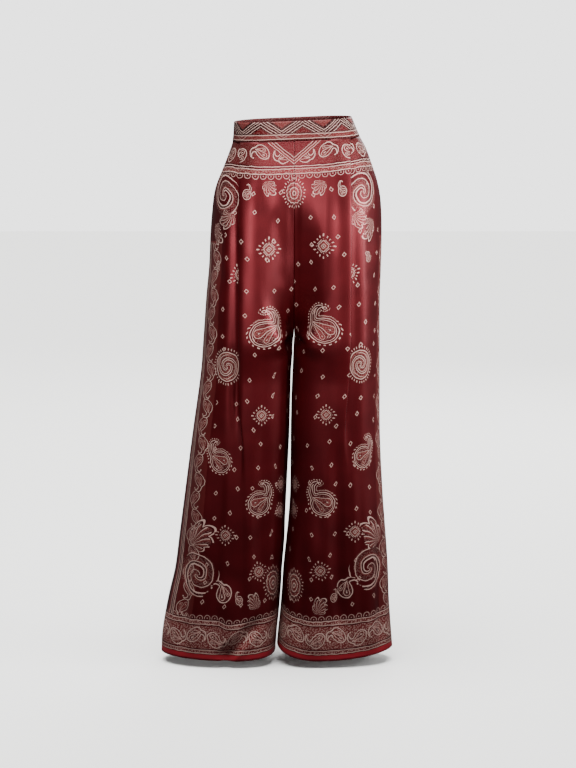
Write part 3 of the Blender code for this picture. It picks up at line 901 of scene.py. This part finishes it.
def bandana(add):
    """The cloth's colour with its borders, friezes and scattered diamonds.

    All lie by the cloth's flat place in millimetres: round from the side seam, down from
    the waist seam, up from the hem edge and short of the centre seam or inseam.
    """
    flat = add("Attribute", attribute_name="flat")[1]
    short = add("Attribute", attribute_name="short")[2]
    place = drifted(add, flat, 0.08, (3.0, 3.0, 3.0))
    across, down, up = add("SeparateXYZ", place)
    level = add("CombineXYZ", across, down)

    # Burgundy, a little uneven as dyed satin is, with fine streaks along the warp.
    cloudy = add("TexNoise", {"Vector": flat, "Scale": 0.012, "Detail": 2.0})
    thread = add("VectorMath MULTIPLY", flat, (0.9, 0.09, 0.0))
    streak = add("TexNoise", {"Vector": thread, "Scale": 1.0, "Detail": 2.0})
    uneven = add("MULTIPLY_ADD", streak[0], 0.5, cloudy[0])
    uneven = add("MapRange", uneven, 0.5, 1.0)
    colour = add("Mix RGBA", uneven, linear(SATIN_DEEP), linear(SATIN))

    # Small hollow diamonds, some 46 mm apart and never quite in line.
    cells = add("TexVoronoi", {"Vector": level, "Scale": 1.0 / 46.0, "Randomness": 0.5},
                voronoi_dimensions="2D")
    scaled = add("VectorMath ABSOLUTE", add("VectorMath SUBTRACT", level, cells[2]))
    diamond = add("VectorMath DOT_PRODUCT", scaled, (1 / 4.1, 1 / 5.2, 0.0))
    hollow = add("COMPARE", diamond, 0.8, 0.2)
    for value, least in ((across, 96.0), (down, 84.0), (up, 98.0)):
        hollow = add("MULTIPLY", hollow, add("GREATER_THAN", value, least))
    hollow = add("MULTIPLY", hollow, 0.62)
    colour = add("Mix RGBA", hollow, colour, INKS["cream"])

    # The V of lines at the centre starts from here, and the frieze keeps clear of it.
    vee = add("MULTIPLY_ADD", short, 0.85, down)
    clear = add("GREATER_THAN", vee, 48.0)
    low = add("GREATER_THAN", down, 46.0)
    vee = add("MULTIPLY_ADD", low, 100.0, vee)
    hip = add("GREATER_THAN", down, 205.0)
    over_hem = add("GREATER_THAN", up, 84.0)
    beside = add("MULTIPLY", hip, over_hem)

    # Paisleys set head to tail: round the waist, round the hem and down beside the side seam.
    for way, height, middle, period, half, where, wash, rings in (
        (short, down, 24.0, 45.0, 22.0, clear, 0.25, "drop"),
        (across, up, 47.0, 42.0, 23.0, 1.0, 0.9, "drop"),
        (down, across, 68.0, 37.0, 22.0, beside, 0.4, "leaf"),
    ):
        count = add("DIVIDE", way, period)
        share = add("FRACT", count)
        x = add("MULTIPLY_ADD", share, period / half, -0.5 * period / half)
        odd = add("GREATER_THAN", add("MODULO", count, 2.0), 1.0)
        odd = add("MULTIPLY_ADD", odd, 2.0, -1.0)
        y = add("MULTIPLY_ADD", height, 1 / half, -middle / half)
        y = add("MULTIPLY", y, odd)
        spot = add("CombineXYZ", x, y)
        spot = add("VectorRotate", {"Vector": spot, "Angle": 0.9}, rotation_type="Z_AXIS")
        spot = add("Group", spot, node_tree=SHAPES["drop"])
        spot = add("DIVIDE", spot, RING_SPAN)
        band = add("ValToRGB", spot, stops=inked(RING_SPAN, ORNAMENT_RINGS[rings]))
        near = add("COMPARE", height, middle, half)
        near = add("MULTIPLY", near, where)
        wash = add("MULTIPLY", near, wash)
        colour = add("Mix RGBA", wash, colour, INKS["brown"])
        cover = add("MULTIPLY", band[1], near)
        colour = add("Mix RGBA", cover, colour, band[0])

    # Small arcs hang in a row under the waist border and stand in one over the hem border.
    for height, from_line in ((down, 68.0), (up, 86.0)):
        arc = add("WRAP", short, 7.5, -7.5)
        rise = add("SUBTRACT", height, from_line)
        arc = add("VectorMath LENGTH", add("CombineXYZ", arc, rise))
        arc = add("DIVIDE", arc, 10.0)
        arc = add("ValToRGB", arc, stops=inked(10, "0 cream 1.1 bare 4.9 cream 6.2 bare"))
        cover = add("MULTIPLY", arc[1], 0.75)
        colour = add("Mix RGBA", cover, colour, arc[0])

    # The lines: the V, those under the waist frieze, the hem's, and those by the side seam.
    for value, span, bands in (
        (vee, 100, "0 bare 30 dark 32 cream 33.5 dark 38 cream 39.5 brown 44 cream 45.5 dark "
                   "48 bare"),
        (down, 80, "0 dark 1.6 bare 46 dark 48.2 cream 49.8 dark 53.4 cream 55.0 brown 63 cream "
                   "64.6 dark 66.4 bare"),
        (up, 100, "0 red 11.5 dark 13 cream 14.6 brown 19.6 cream 21.2 dark 23 bare 71 dark "
                  "72.6 cream 74.2 brown 80.2 cream 81.8 dark 84 bare"),
    ):
        share = add("DIVIDE", value, span)
        band = add("ValToRGB", share, stops=inked(span, bands))
        colour = add("Mix RGBA", band[1], colour, band[0])
    share = add("DIVIDE", across, 100.0)
    band = add("ValToRGB", share, stops=inked(
        100, "0 brown 6 dark 22 brown 30 cream 31.6 dark 36 cream 37.6 dark 41 cream 42.6 dark "
             "45 bare"))
    cover = add("MULTIPLY", band[1], beside)
    colour = add("Mix RGBA", cover, colour, band[0])

    # A line across closes the side border at its top.
    top = add("COMPARE", down, 205.0, 1.4)
    side = add("LESS_THAN", across, 91.0)
    top = add("MULTIPLY", top, side)
    colour = add("Mix RGBA", top, colour, INKS["brown"])

    # Fine dots fill the bands between the lines.
    dots = add("TexVoronoi", {"Vector": level, "Scale": 1.0 / 3.6, "Randomness": 0.8},
               voronoi_dimensions="2D")
    speck = add("LESS_THAN", dots[0], 0.34)
    for value, middle, half, cover in (
        (down, 59.0, 3.6, 0.22),
        (up, 17.1, 2.2, 0.4),
        (up, 77.2, 2.8, 0.4),
        (down, 24.0, 22.0, 0.05),
        (up, 47.0, 23.0, 0.34),
    ):
        near = add("COMPARE", value, middle, half)
        near = add("MULTIPLY", add("MULTIPLY", near, speck), cover)
        colour = add("Mix RGBA", near, colour, INKS["cream"])

    rough = add("MapRange", cloudy[0], 0.3, 0.7, 0.39, 0.45)
    return [colour, speck, streak[0], rough]


SATIN = "#370306"
SATIN_DEEP = "#2A0204"
GROUND_GIVES = {"Color": "Color", "Speck": "Float", "Height": "Float", "Roughness": "Float"}
GROUND = recipe("bandana_ground", bandana, {}, GROUND_GIVES)


def satin_gloss(add, colour, ground, level, tint):
    """The right side of the satin, its weave just felt, in a colour."""
    _, _, weave, rough = ground
    surface = add("BsdfPrincipled", {
        "Base Color": colour,
        "Roughness": rough,
        "Normal": add("Bump", {"Height": weave, "Strength": 0.12, "Distance": 0.0003}),
        "IOR": 1.55,
        "Specular IOR Level": level,
        "Specular Tint": linear(tint),
    })
    add("OutputMaterial", surface)


def printed_satin(kind):
    """Polyester satin, woven with long floats and printed: a soft broad gloss."""
    material, add = blank_material("printed_satin_" + kind)
    ground = add("Group", node_tree=GROUND)
    colour = ground[0]
    if kind != "ground":
        place = add("UVMap", uv_map="ornament")
        place = drifted(add, place, 2.2, (0.14, 0.14, 0.0))
        reach = add("Group", place, node_tree=SHAPES[kind])
        share = add("DIVIDE", reach, RING_SPAN)
        rings = add("ValToRGB", share, stops=inked(RING_SPAN, ORNAMENT_RINGS[kind]))
        colour = add("Mix RGBA", rings[1], colour, rings[0])
        within = add("LESS_THAN", reach, HEART)
        speck = add("MULTIPLY", add("MULTIPLY", within, ground[1]), 0.12)
        colour = add("Mix RGBA", speck, colour, INKS["cream"])
    satin_gloss(add, colour, ground, 0.9, "#DC646C")
    return material


def satin_wrong_side():
    """The back of the same satin: duller, with the print showing through faintly."""
    material, add = blank_material("satin_wrong_side")
    ground = add("Group", node_tree=GROUND)
    colour = add("Mix RGBA", 0.72, ground[0], linear("#5A0810"))
    gloss = {"Base Color": colour, "Roughness": 0.75, "Specular IOR Level": 0.3}
    add("OutputMaterial", add("BsdfPrincipled", gloss))
    return material


def waistband_satin():
    """The same satin cut as a strip: chevrons over a band between two lines."""
    material, add = blank_material("printed_satin_waistband")
    flat = add("Attribute", attribute_name="flat")[1]
    ground = add("Group", node_tree=GROUND)
    across, down, _ = add("SeparateXYZ", drifted(add, flat, 0.1, (3.0, 2.0, 0.0)))
    zig = add("PINGPONG", across, 43.0)
    zig = add("MULTIPLY_ADD", zig, 0.62, -2.0)
    nested = add("SUBTRACT", zig, down)
    nested = add("MULTIPLY_ADD", nested, 1 / 50, 0.5)
    chevron = add("ValToRGB", nested, stops=inked(
        50, "0 bare 11 dark 14.4 cream 15.4 dark 20.4 cream 21.4 dark 25.4 cream 26.2 dark "
            "30.2 cream 31.2 dark 36.4 brown"))
    share = add("DIVIDE", down, 40.0)
    lines = add("ValToRGB", share, stops=inked(
        40, "0 bare 22.5 dark 25 cream 26.2 brown 33.4 cream 34.6 dark 36.5 bare"))
    colour = add("Mix RGBA", lines[1], chevron[0], lines[0])
    speck = add("MULTIPLY", ground[1], 0.07)
    colour = add("Mix RGBA", speck, colour, INKS["cream"])
    satin_gloss(add, colour, ground, 0.3, "#D08080")
    return material


def lacquered_pull():
    """A zinc pull, tumbled and lacquered burgundy: smooth, with rubs down to bare metal."""
    material, add = blank_material("lacquered_zinc")
    place = add("TexCoord")[3]
    rubbed = add("TexNoise", {"Vector": place, "Scale": 420.0, "Detail": 3.0})
    bare = add("MapRange", rubbed[0], 0.62, 0.7)
    colour = add("Mix RGBA", bare, linear("#5A1018"), linear("#8C8280"))
    rough = add("MapRange", bare, 0.0, 1.0, 0.28, 0.42)
    bump = add("Bump", {"Height": rubbed[0], "Strength": 0.2, "Distance": 0.0001})
    surface = add("BsdfPrincipled", {
        "Base Color": colour,
        "Metallic": bare,
        "Roughness": rough,
        "Normal": bump,
        "Coat Weight": 0.4,
        "Coat Roughness": 0.15,
    })
    add("OutputMaterial", surface)
    return material


wrong_side = satin_wrong_side()
band_satin = waistband_satin()
LEG_CLOTHS = [printed_satin(kind) for kind in ["ground", *KINDS]] + [wrong_side]

# A panel's cut as it shows, in metres, with its pleat laid open: its width, length and area.
Cut = namedtuple("Cut", "width length area")

for panel in PANELS:
    piece = lay_cloth(panel, LEG_CLOTHS)
    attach(piece, "root")
    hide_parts(panel.name)

band = waistband_cloth([band_satin, wrong_side])
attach(band, "root")
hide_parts("waistband")

pull_metal = lacquered_pull()
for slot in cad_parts["zip_pull"].material_slots:
    slot.material = pull_metal

# A pale seamless floor under the hems, which stop just short of it.
FLOOR_LEVEL = -1.0925
FLOOR_HALF = 9.0

bm = bmesh.new()
bmesh.ops.create_grid(bm, x_segments=1, y_segments=1, size=FLOOR_HALF)
for vert in bm.verts:
    vert.co.z = FLOOR_LEVEL
floor = as_piece("studio_floor", bm, [])
pale, add = blank_material("floor_paint")
paint = add("BsdfPrincipled", {"Base Color": linear("#FAFAF8"), "Roughness": 0.9})
add("OutputMaterial", paint)
floor.data.materials.append(pale)
floor.visible_diffuse = False
floor.visible_glossy = False

world = bpy.data.worlds.new("studio")
world.use_nodes = True
world.node_tree.nodes.clear()
add = partial(node, world.node_tree)
seen = add("LightPath")[0]
strength = add("MapRange", seen, 0.0, 1.0, 0.12, 2.98)
sky_light = add("Background", linear("#F6F6F6"), strength)
add("OutputWorld", sky_light)
bpy.context.scene.world = world

Lamp = namedtuple("Lamp", "name x y z wide high power spread aim_x aim_z")

LAMPS = [Lamp(*row) for row in (
    ("front soft box", -0.20, -1.5, -0.09, 0.45, 0.62, 2.25, 48, -0.04, -0.22),
    ("left soft box", 1.25, -0.90, -0.04, 0.3, 0.7, 2.25, 50, 0.10, -0.25),
    ("left side box", 1.40, -0.30, -0.10, 0.5, 0.7, 4.6, 70, 0.10, -0.28),
    ("back soft box", 0.8, 3.0, 1.2, 2.0, 2.0, 60, 180, 0.0, -0.4),
)]

for lamp in LAMPS:
    light = bpy.data.lights.new(lamp.name, "AREA")
    light.shape = "RECTANGLE"
    light.size = lamp.wide
    light.size_y = lamp.high
    light.energy = lamp.power
    light.spread = math.radians(lamp.spread)
    holder = bpy.data.objects.new(lamp.name, light)
    holder.location = (lamp.x, lamp.y, lamp.z)
    holder.visible_camera = False
    aim = Vector((lamp.aim_x, 0.0, lamp.aim_z)) - holder.location
    holder.rotation_euler = aim.to_track_quat("-Z", "Y").to_euler()
    bpy.context.scene.collection.objects.link(holder)

# A broad, even light from overhead, as from a ceiling of soft boxes.
ceiling = bpy.data.lights.new("ceiling", "SUN")
ceiling.energy = 8.0
ceiling.angle = math.radians(50.0)
ceiling_holder = bpy.data.objects.new("ceiling", ceiling)
ceiling_holder.rotation_euler = (math.radians(9.0), math.radians(-3.0), 0.0)
bpy.context.scene.collection.objects.link(ceiling_holder)

# The camera stands 5 m in front, a little above the waist, and looks slightly down.
PIXEL = 0.002  # metres of the trousers for each pixel
PICTURE_ROWS = 768
DISTANCE = 5.0
EYE = 0.26  # above the waist
MIDDLE = 0.53  # the picture's middle, below the waist
SENSOR = 24.0
PITCH = math.radians(6.0)
lens = bpy.data.cameras.new("camera")
camera = bpy.data.objects.new("camera", lens)
bpy.context.scene.collection.objects.link(camera)
bpy.context.scene.camera = camera
camera.location = (-0.012, -DISTANCE, EYE)
camera.rotation_euler = (math.pi / 2 - PITCH, 0.0, 0.0)
lens.sensor_fit = "VERTICAL"
lens.sensor_height = SENSOR
middle_drop = math.atan((EYE + MIDDLE) / DISTANCE)
depth = DISTANCE * math.cos(PITCH) + (EYE + MIDDLE) * math.sin(PITCH)
lens.lens = SENSOR * depth / (PICTURE_ROWS * PIXEL)
lens.shift_y = -math.tan(middle_drop - PITCH) * lens.lens / SENSOR
